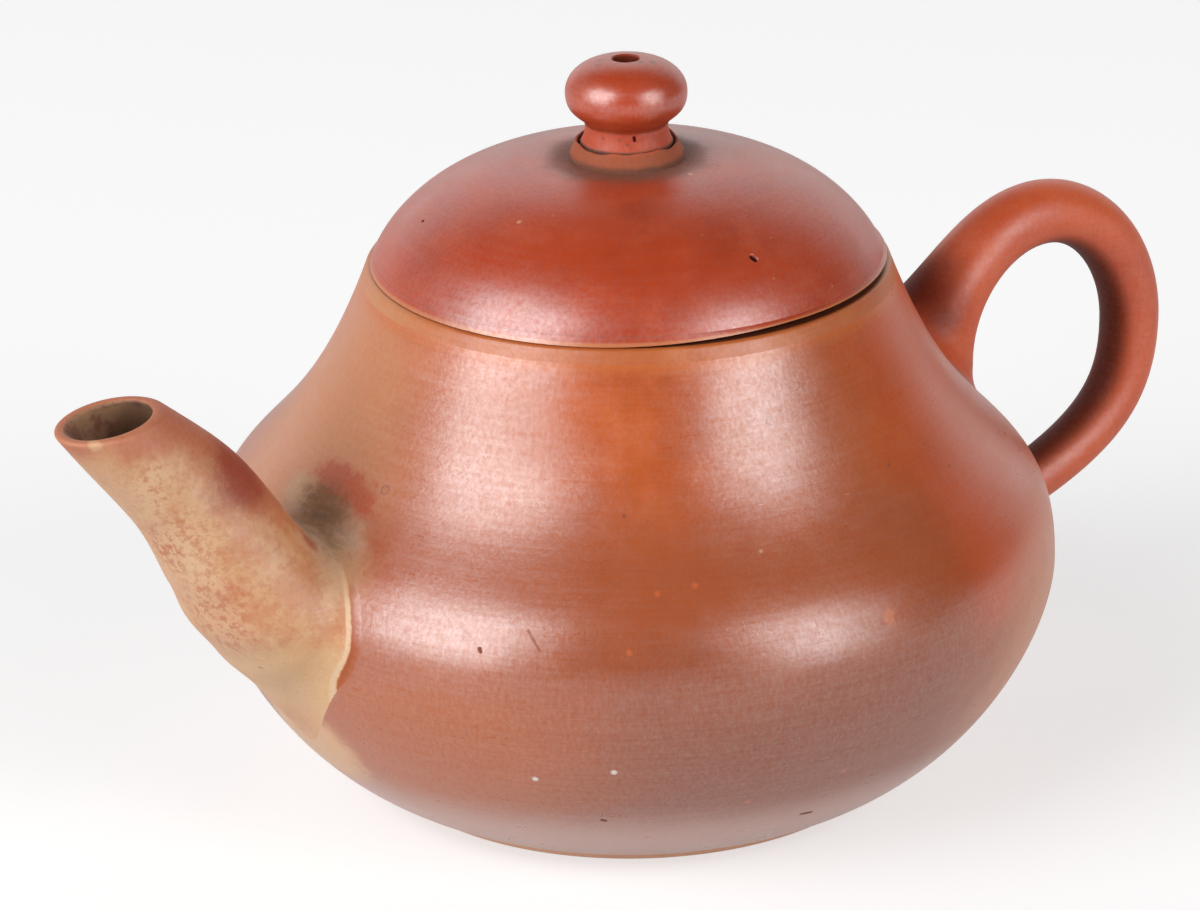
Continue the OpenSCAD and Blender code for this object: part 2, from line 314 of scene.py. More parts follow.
    # Detail
    def sand(self):
        """Grains of pale and dark sand that show in the fired clay."""
        for size, code, shift, bare in SAND:
            cells = self.node("ShaderNodeTexVoronoi")
            cells.inputs["Scale"].default_value = 1.0
            self.feed(cells.inputs["Vector"], self.mapped([1 / size] * 3, shift))
            tone = self.node("ShaderNodeSeparateColor")
            self.feed(tone.inputs[0], cells.outputs["Color"])
            grain = self.band(cells.outputs["Distance"], 0.09, 0.04)
            kept = self.maths("GREATER_THAN", tone.outputs[0], bare)
            self.paint(code, self.times(grain, kept), 0.6)

    def paint(self, code, mask, share=None):
        """Lays a tone on where the mask is, with a share of its strength."""
        mask = mask if share is None else self.times(mask, share)
        self.colour = self.blend(self.colour, tint(code), mask)

    def dull(self, amount, mask):
        """Roughens the surface."""
        self.rough = self.add(self.rough, self.times(mask, amount))

    def matt(self, share, mask):
        """Takes a share of the polish off, or adds one where it is below 0."""
        self.sheen = self.times(self.sheen, self.sub(1.0, self.times(mask, share)))

    def spot(self, centre, radii, soft=0.4, ragged=0.0, size=1.6, shift=11):
        """A patch round a point, 1 in its middle, with ragged edges."""
        off = self.vector("SUBTRACT", self.place, centre)
        away = self.vector("LENGTH", self.vector("DIVIDE", off, radii))
        if ragged:
            away = self.add(away, self.swing(self.noise(size, detail=5, rough=0.65, shift=shift), ragged))
        return self.band(away, 1 + soft, 1 - soft)

    def stroke(self, start, end, width, ragged=0.0):
        """A thin line between two points, 1 along its middle."""
        start, run = Vector(start), Vector(end) - Vector(start)
        off = self.vector("SUBTRACT", self.place, start)
        share = self.clamp(self.vector("DOT_PRODUCT", off, run / run.length_squared))
        away = self.vector("LENGTH", self.vector("SUBTRACT", off, self.vector("SCALE", run, share)))
        if ragged:
            away = self.add(away, self.swing(self.patch, ragged))
        return self.band(away, width, 0.3 * width)

    def strokes(self, points, width, ragged=0.0):
        """A thin line through several points."""
        return self.most(*[self.stroke(*ends, width, ragged) for ends in zip(points, points[1:])])

    def ring(self, centre, size):
        """A small ragged ring round a point."""
        whole = self.spot(centre, [size] * 3, 0.2, 0.5, 0.6)
        hole = self.spot(centre, [0.6 * size] * 3, 0.25, 0.5, 0.6)
        return self.most(self.sub(whole, hole), 0.0)

    def spots(self, centres, size):
        """Small round dots."""
        return self.most(*[self.spot(centre, [size] * 3, soft=0.5) for centre in centres])

    def fired(self):
        """Joins the colour, roughness, relief and polish to the shader."""
        for code, mask in zip((self.deep, self.bright), self.speckle):
            self.paint(code, mask)
        relief = self.node("ShaderNodeBump")
        for name, given in (("Strength", 1.0), ("Distance", MM), ("Height", self.height)):
            self.feed(relief.inputs[name], given)
        # The polish's mean is set on the socket's own value, under the link of the broken
        # polish. The export drops the broken polish and takes its mean from the socket
        for name, given in (
            ("IOR", CLAY_IOR),
            ("Base Color", self.colour),
            ("Normal", relief.outputs["Normal"]),
            ("Roughness", self.clamp(self.rough, SMOOTHEST, ROUGHEST)),
            ("Specular IOR Level", self.polish),
            ("Specular IOR Level", self.clamp(self.sheen)),
        ):
            self.feed(self.shader.inputs[name], given)
        return self.material


def stained_inside(clay):
    """Tea has browned the inside."""
    inside = clay.mark("inside")
    clay.paint("#5a3524", inside, 0.75)
    clay.dull(0.2, inside)


def spout_crotch(clay):
    """Dark tea residue with a red fringe, where the spout's top meets the body."""
    smears = clay.band(clay.noise(0.6, detail=4, rough=0.65, stretch=(1, 0.3, 1), shift=97), 0.36, 0.6)
    fringe = clay.spot((-31.3, -0.2, 32.8), (2.9, 5.0, 2.5), 0.24, 1.2, 1.2)
    clay.paint("#b23e1a", fringe, 0.7)
    clay.matt(0.4, fringe)
    film = clay.spot((-33.2, -1.6, 30.7), (3.0, 4.8, 2.5), 0.25, 1.2, 1.2, 43)
    clay.paint("#ab8663", film, 0.65)
    dust = clay.spot((-34.8, -4.8, 28.4), (2.6, 4.6, 3.4), 0.5, 1.0, 1.6, 19)
    clay.paint("#c29b78", dust, 0.7)
    wedge = clay.spot((-31.9, 4.2, 31.8), (1.8, 2.8, 1.5), 0.4, 1.0, 1.0, 59)
    clay.paint("#bb9065", wedge, 0.8)
    stain = clay.spot((-32.0, 0.3, 31.9), (2.2, 3.4, 1.5), 0.45, 1.5, 0.9, 5)
    clay.paint("#7a5d42", clay.times(stain, clay.add(clay.times(smears, 0.45), 0.4)))
    clay.matt(0.6, stain)
    tail = clay.spot((-34.0, -2.4, 29.8), (2.2, 3.6, 2.2), 0.5, 1.6, 0.8, 67)
    clay.paint("#75593f", clay.times(tail, clay.add(clay.times(smears, 0.45), 0.1)))
    red = clay.spot((-36.3, -4.2, 31.0), (0.7, 0.9, 1.1), 0.5, 1.2, 0.8, 73)
    clay.paint("#a33416", red, 0.7)
    clay.dull(0.25, clay.most(stain, film))


def body_zones(clay):
    """The fire and years of handling toned its sides differently; painted light and shade go on too."""
    wander = clay.swing(clay.noise(10, detail=4, rough=0.55, shift=91), 9)
    height = clay.add(clay.z, wander)
    clay.paint("#a24e27", clay.band(height, 40, 31), 0.85)
    clay.paint("#8c4526", clay.band(height, 29, 19), 0.9)
    right = clay.times(clay.band(clay.add(clay.x, wander), 4, 16), clay.band(height, 17, 27))
    clay.paint("#c74d10", right, 0.85)
    warm = clay.spot((-33, -17, 14), (13, 17, 9), 0.6, 0.5, 6)
    clay.paint("#b75d2a", warm, 0.85)
    # Painted light: the clay low on the right side is painted warmer and brighter, as lit from the right and
    # behind
    bounce_light_right = clay.spot((27, -25, 14.5), (18, 15, 10), 0.5, 0.5, 6)
    clay.paint("#cf7d4c", bounce_light_right, 0.9)
    # Paler towards the foot: painted reflection and bounce light of the white floor, with some dust
    low = clay.add(clay.z, clay.times(wander, 0.12))
    outside = clay.band(clay.radius, 23.6, 24.8)
    clay.paint("#cfa396", clay.times(clay.band(low, 10.8, 5.0), outside), 0.9)
    clay.paint("#deac8d", clay.times(clay.band(low, 2.1, 1.4), outside), 0.8)
    # Red clay shows under the foot
    clay.paint("#a94a2c", clay.times(clay.band(clay.z, 1.8, 1.5), clay.sub(1.0, outside)), 0.8)
    # Dust of years on the shoulder over the spout; painted shade on the neck where the lamps light it most
    dusty = clay.spot((-30, 8, 38), (12, 15, 13), 0.4, 0.5, 5, 29)
    clay.paint("#c67f4e", dusty, 0.85)
    clay.dull(0.08, dusty)
    neck_shade = clay.most(
        clay.spot((-23.6, -12.6, 39.5), (6, 8, 7), 0.6, 0.6, 3),
        clay.spot((-2.6, -26.4, 40), (8, 5, 7), 0.6, 0.6, 3),
    )
    clay.paint("#a9552c", neck_shade, 0.7)
    worn = clay.spot((-20.6, -15.6, 41.8), (5.5, 5.5, 4.2), 0.7, 0.7, 2.6, 87)
    clay.matt(0.36, worn)
    clay.matt(0.22, clay.spot((-3.0, -36.8, 25.4), (9, 6, 5), 0.6, 0.6, 2.6, 87))


BODY_TONES = "#b14c17", "#c15616", "#ca6429"


def body_clay():
    clay = Clay("body_finish", *BODY_TONES, 0.315)
    body_zones(clay)
    spout_crotch(clay)
    # Lighter band under the lid's seam
    edge = clay.add(clay.z, clay.swing(clay.noise(5, detail=4, shift=77), 1.2))
    under_lid = clay.band(edge, 44.9, 46.1)
    clay.paint("#c96a2e", under_lid, 0.7)
    clay.matt(0.2, under_lid)
    # Tan slip smeared below the spout
    smear = clay.spot((-34.0, -0.5, 11.2), (5.0, 6.6, 5.2), 0.25, 0.6, 2.2, 83)
    clay.paint("#dfac78", smear, 0.88)
    clay.paint("#e6ddd2", clay.spots([(-27.1, -24.1, 13.6), (-22.5, -29.1, 14.8)], 0.26))
    orange = clay.spots([(-21.5, -30.1, 25.8), (-14.8, -30.2, 30.2), (-17.8, -29.0, 29.8),
                         (-3.0, -35.2, 11.7), (-11.1, -32.5, 10.1), (-17.05, -26.05, 5.96)], 0.26)
    clay.paint("#c9622f", orange, 0.7)
    clay.paint("#d39a72", clay.spots([(-8.42, -30.86, 31.92)], 0.16), 0.8)
    dark = clay.spots([(7.0, -28.5, 35.2), (14.4, -27.5, 33.0), (-17.4, -23.8, 35.0)], 0.18)
    clay.paint("#6d3527", dark, 0.6)
    clay.paint("#7a3a26", clay.ring((-3.6, -25.7, 40.85), 0.42), 0.6)
    clay.paint("#7a3a26", clay.ring((-29.45, -5.5, 34.32), 0.5), 0.5)
    clay.paint("#d49a78", clay.strokes([(-6.95, -28.62, 34.98), (1.58, -29.92, 34.31)], 0.08, 0.1), 0.45)
    clay.paint("#7a3a26", clay.strokes([(-13.3, -26.0, 36.6), (-13.6, -26.8, 34.9)], 0.1, 0.1), 0.6)
    # Painted shade: the pits are painted dark, duller and without polish
    pit = clay.mark("pit")
    clay.paint("#6b3220", pit, 0.8)
    clay.dull(0.3, pit)
    clay.matt(0.8, pit)
    chip = clay.spot((0.5, -36.95, 25.8), (0.5, 0.6, 0.75), 0.35, 1.6, 0.5)
    clay.paint("#cc7a50", chip, 0.75)
    clay.matt(0.3, chip)
    scratch = clay.strokes(
        [(-27.3, -23.82, 27.15), (-27.28, -24.25, 26.71), (-27.09, -25.19, 25.72)], 0.19, 0.08
    )
    clay.paint("#8a4830", scratch, 0.8)
    clay.matt(0.6, scratch)
    stained_inside(clay)
    return clay.fired()


def edge_clay():
    """Worn edges, paler than the body; the seat under the lid is painted dark as shade in the seam's gap."""
    clay = Clay("edge_finish", "#b65a26", "#c1662b", "#c97843", 0.42, 0.6)
    dusty = clay.spot((-30, 8, 38), (12, 15, 13), 0.4, 0.5, 5, 29)
    clay.paint("#ca9265", dusty, 0.8)
    # Painted shade on the seat, seen through the gap under the lid
    seat = clay.times(clay.band(clay.radius, 22.85, 22.6), clay.band(clay.z, 45.0, 46.0))
    clay.paint("#3c1e14", seat, 0.92)
    # Painted light: the foot ring, shaded by the belly, is painted pale
    clay.paint("#e3b192", clay.band(clay.z, 3.0, 1.0), 0.85)
    return clay.fired()


def spout_clay():
    """Dusted with tan slip; red clay shows along its crest and in specks low on its left side."""
    clay = Clay("spout_finish", *BODY_TONES, 0.315)
    body_zones(clay)
    crest = clay.mark("crest")
    mottle = clay.noise(3.0, detail=6, rough=0.66, shift=23)
    fine = clay.noise(0.7, detail=5, rough=0.7, shift=47)
    ragged = clay.swing(clay.noise(1.5, detail=5, rough=0.65, shift=37), 0.5)
    # The slip runs further down the body under the spout
    root = clay.add(clay.mark("root"), clay.times(ragged, 0.22))
    root = clay.sub(root, clay.times(clay.band(clay.z, 22, 16), 0.34))
    slip = clay.band(root, 0.66, 0.58)
    clay.matt(0.7, clay.times(clay.band(root, 0.46, 0.62), clay.band(root, 1.0, 0.66)))
    clay.paint("#c78350", slip)
    clay.dull(0.26, slip)
    clay.paint("#d3a070", clay.times(clay.band(mottle, 0.42, 0.6), slip), 0.85)
    clay.paint("#b9683a", clay.times(clay.band(fine, 0.5, 0.66), slip), 0.45)
    pale = clay.most(
        clay.spot((-51.4, -4, 38.4), (1.6, 3.0, 4.4), 0.6, 0.9, 2),
        clay.spot((-48.4, -5, 31.5), (2.4, 3.6, 5), 0.6, 0.9, 2),
    )
    clay.paint("#e2b98e", clay.times(pale, clay.band(fine, 0.6, 0.44)), 0.75)
    yellow = clay.spot((-39.5, -7, 18.4), (7, 8, 5.2), 0.4, 0.6, 2.2)
    clay.paint("#e0b681", clay.times(yellow, slip), 0.8)
    # Light dust on its underside
    clay.paint("#e3b78f", clay.times(clay.band(clay.add(crest, ragged), 0.26, 0.06), slip), 0.5)
    # Red along the crest and round the lip
    top = clay.times(clay.band(clay.add(crest, ragged), 0.58, 0.94), clay.band(clay.x, -33.5, -38))
    clay.paint("#b2562c", clay.times(top, clay.band(clay.z, 31, 38)), 0.85)
    red = clay.spot((-42.8, -3.2, 38.2), (3.6, 3.4, 3.0), 0.5, 0.9, 1.4)
    clay.paint("#8f2a10", red, 0.85)
    clay.matt(0.35, red)
    lip = clay.band(clay.add(clay.z, clay.times(ragged, 3)), 40.6, 43.4)
    clay.paint("#bb6236", lip, 0.85)
    clay.dull(0.12, lip)
    under_lip = clay.spot((-55.4, -3.6, 41.4), (1.5, 1.8, 2.0), 0.6, 0.9, 1.2, 39)
    clay.paint("#dba878", under_lip, 0.7)
    # Red specks
    specks = clay.most(
        clay.spot((-45.6, -4, 25.6), (2.6, 3.6, 4.6), 0.7, 0.6),
        clay.spot((-49.2, -2.0, 32.6), (1.6, 2.6, 3.6), 0.7, 0.6),
    )
    clay.paint("#bb5a2c", clay.times(clay.band(fine, 0.47, 0.58), specks), 0.75)
    drip = clay.spot((-55.9, -3.2, 44.0), (0.5, 0.7, 0.7), 0.4, 1.2, 0.7)
    clay.paint("#d9ab7c", drip, 0.7)
    spout_crotch(clay)
    # Cream slip left in the seam against the body, and a crack across the root
    seam = clay.times(
        clay.band(root, 0.48, 0.54), clay.band(root, 0.66, 0.6),
        clay.band(clay.z, 29.0, 26.0), clay.band(clay.y, 1, -4),
    )
    clay.paint("#e4c4a1", seam, 0.85)
    crack = clay.strokes(
        [(-41.9, -4.3, 20.7), (-41.0, -5.8, 20.1), (-39.9, -7.0, 20.0), (-38.0, -9.2, 21.9)], 0.14, 0.2
    )
    clay.paint("#8a5f40", crack, 0.7)
    stained_inside(clay)
    # Pale scale in the bore
    scale = clay.times(clay.mark("inside"), clay.band(mottle, 0.4, 0.58), clay.band(clay.z, 38.5, 42.6))
    clay.paint("#a87e55", scale, 0.85)
    return clay.fired()


def handle_clay():
    clay = Clay("handle_finish", "#c84f23", "#d65927", "#de6835", 0.46, 0.65)
    # Painted shade on the inner side of the loop, and painted shade with grime at the upper root
    inner = clay.band(clay.mark("inner"), 0.74, 0.99)
    clay.paint("#521807", inner, 0.86)
    clay.dull(0.2, inner)
    clay.matt(0.5, inner)
    # Painted shade with grime where the roots meet the body
    root = clay.band(clay.mark("root"), 0.35, 0.75)
    clay.paint("#a8431a", root, 0.8)
    clay.matt(0.2, clay.spot((34.5, -3.5, 35.5), (4, 3, 4), 0.7))
    # Painted shade and grime at the upper root
    root_shade_and_grime = clay.spot((32.8, 0.3, 37.4), (3.2, 5.2, 4.4), 0.7, 0.4, 2.2)
    clay.paint("#6a210d", root_shade_and_grime, 0.85)
    clay.dull(0.15, root_shade_and_grime)
    clay.matt(0.6, root_shade_and_grime)
    clay.paint("#7a301a", clay.spot((32.6, -3.9, 35.5), (1.4, 1.6, 0.9), 0.8, 0.8), 0.5)
    unshaded = clay.sub(1.0, clay.most(inner, root_shade_and_grime))
    clay.speckle = [clay.times(share, unshaded) for share in clay.speckle]
    return clay.fired()


def lid_clay():
    clay = Clay("lid_finish", "#a6370f", "#b53d10", "#c24d1f", 0.35)
    ragged = clay.swing(clay.noise(2.4, detail=5, rough=0.62, shift=61), 3.4)
    ring = clay.times(clay.band(clay.add(clay.radius, ragged), 9.0, 5.2), clay.band(clay.z, 57.4, 56.8))
    clay.paint("#4b3a29", ring, 0.74)
    side = clay.times(clay.band(clay.z, 58.6, 58.3), clay.band(clay.z, 56.8, 57.0))
    clay.paint("#98502f", side, 0.85)
    clay.matt(0.15, side)
    clay.dull(0.25, side)
    low = clay.band(clay.add(clay.z, clay.times(ragged, 0.25)), 57.7, 57.0)
    clay.paint("#4f3a2c", clay.times(low, side), 0.7)
    # The rim is rubbed brighter on the left
    clay.matt(-0.4, clay.spot((-21.2, -5.0, 49.5), (3.0, 3.6, 2.2), 0.7))
    stem = clay.times(clay.band(clay.z, 60.2, 59.6), clay.band(clay.z, 56.8, 57.0))
    clay.dull(0.24, stem)
    clay.matt(0.45, stem)
    # A dark line under the bun: painted shade of its overhang, with residue
    clay.paint("#6b2a16", clay.close_to(clay.z, 60.25, 0.35, 0.1), 0.45)
    # Painted shade inside the vent
    vent_shade = clay.times(clay.band(clay.radius, 1.3, 1.12), clay.band(clay.z, 50, 56))
    clay.paint("#571b0c", vent_shade, 0.9)
    clay.dull(0.3, vent_shade)
    clay.matt(0.9, vent_shade)
    # Painted shade in the groove between the collar's lip and the stem
    groove_shade = clay.times(
        clay.close_to(clay.radius, 4.16, 0.22, 0.08), clay.close_to(clay.z, COLLAR_TOP, 0.6, 0.3)
    )
    clay.paint("#3a2419", groove_shade, 0.85)
    clay.paint("#c8743d", clay.mark("rim"), 0.85)
    # Painted shade: the pits are painted dark, duller and without polish
    pit = clay.mark("pit")
    clay.paint("#2b120c", pit, 0.9)
    clay.dull(0.5, pit)
    clay.matt(0.9, pit)
    clay.dull(0.15, ring)
    # Dark specks round the top of the knob, and pale grains on the dome
    specks = clay.spots([(-1.9, 1.2, 65.7), (0.4, -1.6, 65.8), (-2.6, 0.4, 65.4), (1.5, -1.9, 65.6)], 0.32)
    clay.paint("#5a2213", specks, 0.7)
    stem_specks = clay.spots([(-3.42, -1.3, 59.5), (-2.58, -2.59, 59.5), (-2.1, -3.08, 59.1)], 0.15)
    clay.paint("#5a2213", stem_specks, 0.55)
    clay.paint("#d59a72", clay.spots([(-14.37, -4.32, 54.97), (1.61, -7.19, 56.8)], 0.2), 0.8)
    stained_inside(clay)
    return clay.fired()


# Meshes
NEAR = 0.01  # points closer than this are taken as level
FOLD = 0.5  # edges folded by more than this, in radians, are sharp
DOUBLINGS = 5


def polar(vert):
    """A point's radius, height and turn about the pot's axis."""
    x, y, z = (c / MM for c in vert.co)
    return math.hypot(x, y), z, math.atan2(y, x)


def round_turns(count):
    """Even turns all the way round, in radians."""
    return [k * FULL_TURN / count for k in range(count)]


def spun(outline, steps, open_line=False):
    """A mesh turned about the pot's axis from an outline of (radius, height) points."""
    bm = bmesh.new()
    line = [bm.verts.new((r * MM, 0, z * MM)) for r, z in outline]
    ends = zip(line, line[1:] if open_line else line[1:] + line[:1])
    edges = [bm.edges.new(pair) for pair in ends]
    # One sector is spun and then doubled until it goes all the way round
    angle = FULL_TURN / 2**DOUBLINGS
    bmesh.ops.spin(
        bm, geom=line + edges, axis=(0, 0, 1), cent=(0, 0, 0), angle=angle, steps=steps // 2**DOUBLINGS
    )
    for _ in range(DOUBLINGS):
        copied = bmesh.ops.duplicate(bm, geom=bm.verts[:] + bm.edges[:] + bm.faces[:])["geom"]
        verts = [g for g in copied if isinstance(g, bmesh.types.BMVert)]
        bmesh.ops.rotate(bm, verts=verts, cent=(0, 0, 0), matrix=Quaternion((0, 0, 1), angle).to_matrix())
        angle *= 2
    bmesh.ops.remove_doubles(bm, verts=bm.verts[:], dist=2e-6)
    bmesh.ops.recalc_face_normals(bm, faces=bm.faces[:])
    return bm


def sharp_edges(bm, fold, kept):
    """Folded edges whose ends have a radius and height that are kept."""
    return [
        e for e in bm.edges
        if e.is_manifold and e.calc_face_angle() > fold and all(kept(*polar(v)[:2]) for v in e.verts)
    ]


def rounded(bm, edges, radius, segments=3, **more):
    """Rounds edges off."""
    bmesh.ops.bevel(
        bm, geom=edges, offset=radius * MM, segments=segments, profile=0.5,
        affect="EDGES", material=-1, **more
    )


def sleeve(bm, rings, side):
    """A skin bridged through rings of points; a ring is (points, share of root).
    The mark named side is 1 along the first points of the rings and 0 opposite them."""
    root, first = bm.verts.layers.float.new("root"), bm.verts.layers.float.new(side)
    loops = []
    for points, share in rings:
        made = bmesh.ops.create_circle(bm, segments=len(points), radius=MM)["verts"]
        for i, (vert, point) in enumerate(zip(made, points)):
            vert.co = Vector(point) * MM
            vert[root] = share
            vert[first] = 0.5 + 0.5 * math.cos(i * FULL_TURN / len(points))
        around = set(made)
        loops.append(list({e: None for v in made for e in v.link_edges if e.other_vert(v) in around}))
        if len(loops) > 1:
            bmesh.ops.bridge_loops(bm, edges=loops[-2] + loops[-1])
    return loops


def pocks(bm, pits, spread):
    """Presses small pits into a skin, which is made finer for a spread round each one.
    A pit is (one end, other end, radius, depth)."""
    layer = bm.verts.layers.float.new("pit")
    for start, end, radius, depth in pits:
        start, end, reach = Vector(start) * MM, Vector(end) * MM, radius * MM
        run = end - start

        def away(v):
            share = (v.co - start).dot(run) / max(run.length_squared, 1e-12)
            return (v.co - start - run * min(1.0, max(0.0, share))).length / reach

        near = [v for v in bm.verts if away(v) * radius < spread]
        edges = list({e for v in near for e in v.link_edges})
        bmesh.ops.subdivide_edges(bm, edges=edges, cuts=7, use_grid_fill=True)
        bm.normal_update()
        for v in bm.verts:
            share = away(v)
            if share < 1:
                press = (1 - share * share) ** 2
                v.co -= v.normal * depth * press * MM
                v[layer] = max(v[layer], smooth(2.4 * press))


def finished(bm, node, body, finish, sharp=40):
    """Makes the mesh a named piece that stands for its solid."""
    mesh = bpy.data.meshes.new(node + "_skin")
    bm.to_mesh(mesh)
    bm.free()
    mesh.materials.append(finish)
    mesh.shade_smooth()
    mesh.set_sharp_from_angle(angle=math.radians(sharp))
    piece = bpy.data.objects.new("clay_" + node, mesh)
    bpy.context.scene.collection.objects.link(piece)
    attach(piece, body)
    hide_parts(node)
    return piece


def cut(bm, cutter):
    """The mesh with the cutter's shape taken out of it."""
    objects = []
    for name, source in (("blank", bm), ("cutter", cutter)):
        mesh = bpy.data.meshes.new(name)
        source.to_mesh(mesh)
        source.free()
        objects.append(bpy.data.objects.new(name, mesh))
        bpy.context.scene.collection.objects.link(objects[-1])
    blank, tool = objects
    cutting = blank.modifiers.new("cut", "BOOLEAN")
    cutting.operation, cutting.solver, cutting.object = "DIFFERENCE", "EXACT", tool
    made = bmesh.new()
    made.from_object(blank, bpy.context.evaluated_depsgraph_get())
    for obj in objects:
        mesh = obj.data
        bpy.data.objects.remove(obj)
        bpy.data.meshes.remove(mesh)
    return made


def mark_inside(bm, outside_r, gap):
    """Marks the points that lie inside the wall."""
    layer = bm.verts.layers.float.new("inside")
    for v in bm.verts:
        r, z, _ = polar(v)
        v[layer] = 1.0 if outside_r(z) - r > gap else 0.0


# Pieces of the pot
def body_wall(finish):
    outer = between(BODY_SIDE, BASE_TOP, RING_Z)
    inner = between(BODY_INSIDE, BASE_TOP, RING_Z)
    wall = spun(outer + inner[::-1], 288)
    holes = bmesh.new()
    ring = [(HOLE_RING_R * math.cos(a), HOLE_RING_R * math.sin(a)) for a in round_turns(HOLE_COUNT)]
    level = Quaternion((0, 1, 0), math.pi / 2).to_matrix()
    for across, up in [(0.0, 0.0)] + ring:
        hole = bmesh.ops.create_cone(
            holes, cap_ends=True, segments=32, radius1=HOLE_R * MM, radius2=HOLE_R * MM, depth=10 * WALL * MM
        )["verts"]
        bmesh.ops.rotate(holes, verts=hole, cent=(0, 0, 0), matrix=level)
        bmesh.ops.translate(holes, verts=hole, vec=Vector((-BELLY_R, across, HOLES_Z + up)) * MM)
    wall = cut(wall, holes)
    mark_inside(wall, body_r, 0.3)
    pocks(wall, (
        ((-30.45, -21.22, 25.38), (-30.4, -21.3, 25.1), 0.24, 0.05),
        ((-21.43, -25.67, 8.69), (-21.2, -25.8, 8.6), 0.26, 0.05),
        ((-4.6, -31.45, 6.65), (-3.7, -31.5, 6.55), 0.3, 0.08),
    ), 1.1)
    return finished(wall, "body_wall", "pot", finish)


def base_disc(finish):
    outer = between(BODY_SIDE, FOOT_Z, BASE_TOP)
    disc = spun([(0, FOOT_Z)] + outer + [(0, BASE_TOP)], 224, open_line=True)
    mark = bmesh.new()
    bmesh.ops.create_cube(mark, size=1.0)
    bmesh.ops.scale(mark, vec=Vector((MARK_SIDE, MARK_SIDE, 2 * MARK_DEPTH)) * MM, verts=mark.verts[:])
    upright = [e for e in mark.edges if abs((e.verts[0].co - e.verts[1].co).z) > MARK_DEPTH * MM]
    rounded(mark, upright, 0.8, 5)
    bmesh.ops.translate(mark, verts=mark.verts[:], vec=(0, 0, FOOT_Z * MM))
    disc = cut(disc, mark)
    layer = disc.verts.layers.float.new("inside")
    for v in disc.verts:
        r, z, _ = polar(v)
        v[layer] = 1.0 if z > BASE_TOP - NEAR and r < 27 else 0.0
    return finished(disc, "base_disc", "pot", finish)


def foot_ring(finish):
    ring = spun([(FOOT_IN_R, FOOT_Z), (FOOT_IN_R, 0), (FOOT_OUT_R, 0), (FOOT_OUT_R, FOOT_Z)], 224)
    rounded(ring, sharp_edges(ring, FOLD, lambda r, z: True), 0.25, clamp_overlap=True)
    return finished(ring, "foot_ring", "pot", finish)


def mouth_ring(finish):
    outer = between(BODY_SIDE, RING_Z, MOUTH_Z)
    ring = spun(outer + [(BORE_R, MOUTH_Z), (BORE_R, RING_Z)], 288)
    rounded(ring, sharp_edges(ring, FOLD, lambda r, z: z > MOUTH_Z - NEAR), 0.22)
    return finished(ring, "mouth_ring", "pot", finish)


def spout_point(t, turn, skin=0.0):
    """A point of the spout's skin: t along it, turn round it, skin in from the outside."""
    x, z = bend_at(SPOUT_WAY, t)
    tall, wide = bend_at(SPOUT_HALF, t)
    rise = heading(SPOUT_WAY, t)
    rise = mix(rise, math.pi / 2 - LIP_SLANT, smooth((t - 0.6) / 0.4))
    x -= SPOUT_LEAN * smooth((t - 0.2) / 0.6)
    # Under its root the spout narrows towards its keel
    wide = (wide - skin) * (1 - KEEL * smooth(-math.cos(turn) / 0.75) * (1 - smooth(t / 0.45)))
    hollow = sum(depth * smooth(1 - abs(t - at) / reach) for at, reach, depth in SPOUT_UNDER)
    up = (tall - skin) * math.cos(turn) + hollow * smooth(-math.cos(turn))
    return Vector((x + up * math.sin(rise), wide * math.sin(turn), z + up * math.cos(rise)))


def handle_point(t, turn):
    """A point of the handle's skin; t runs from 0 at its upper end to 3 at its lower end."""
    part = min(2, int(t))
    t -= part
    x, z = bend_at(HANDLE_WAYS[part], t)
    share = 1 - (1 - t) ** 4 if part == 0 else t
    half = mix(HANDLE_THICK[part], HANDLE_THICK[part + 1], share) / 2
    rise = heading(HANDLE_WAYS[part], t)
    up = half * math.cos(turn)
    return Vector((x + up * math.sin(rise), 1.06 * half * math.sin(turn), z + up * math.cos(rise)))


# Walking step along a skin, rows of rings in a luted fillet, and how far its skirt sinks into the body
STEP, FILLET_ROWS, SUNK = 0.002, 14, 0.03


def leaves_body(skin, turn, end):
    """Where a skin's line comes out of the body, as its t between 0 and end."""
    def depth(t):
        p = skin(t, turn)
        return math.hypot(p.x, p.y) - body_r(p.z)

    low, high = 0.0, end
    steps = 160
    for i in range(1, steps + 1):
        t = end * (i / steps)
        if depth(t) > 0:
            high = t
            break
        low = t
    for _ in range(30):
        mid = (low + high) / 2
        low, high = (low, mid) if depth(mid) > 0 else (mid, high)
    return high


def along(skin, turn, t, distance):
    """Walks a distance along a skin's line from t."""
    here, gone = skin(t, turn), 0.0
    while gone < distance:
        t += STEP
        there = skin(t, turn)
        gone += (there - here).length
        here = there
    return t


def luted_root(skin, turns, end, run, skirt, under=0.0):
    """Rings of the smoothed clay where a swept piece is luted to the body: run along the piece, skirt
    along the body, and under spreads it below. Returns the rings, from the body outwards, and the t
    of each line's end."""
    out_t = [leaves_body(skin, a, end) for a in turns]
    seam = [onto_body(skin(t, a)) for t, a in zip(out_t, turns)]
    middle = sum(seam, Vector()) / len(seam)
    tops, skirts = [], []
    for t, a, p in zip(out_t, turns, seam):
        more = under * smooth(-math.cos(a))
        tops.append(along(skin, a, t, run + more))
        normal = body_normal(p)
        away = p - middle
        away = (away - normal * away.dot(normal)).normalized()
        skirts.append(onto_body(p + away * (skirt + more), -SUNK))
    rings = []
    for i in range(FILLET_ROWS + 1):
        s = i / FILLET_ROWS
        points = []
        for a, top, j, b in zip(turns, tops, seam, skirts):
            tip = skin(top, a)
            points.append(b * (1 - s) ** 2 + j * 2 * s * (1 - s) + tip * s * s)
        rings.append((points, 1 - s))
    return rings, tops


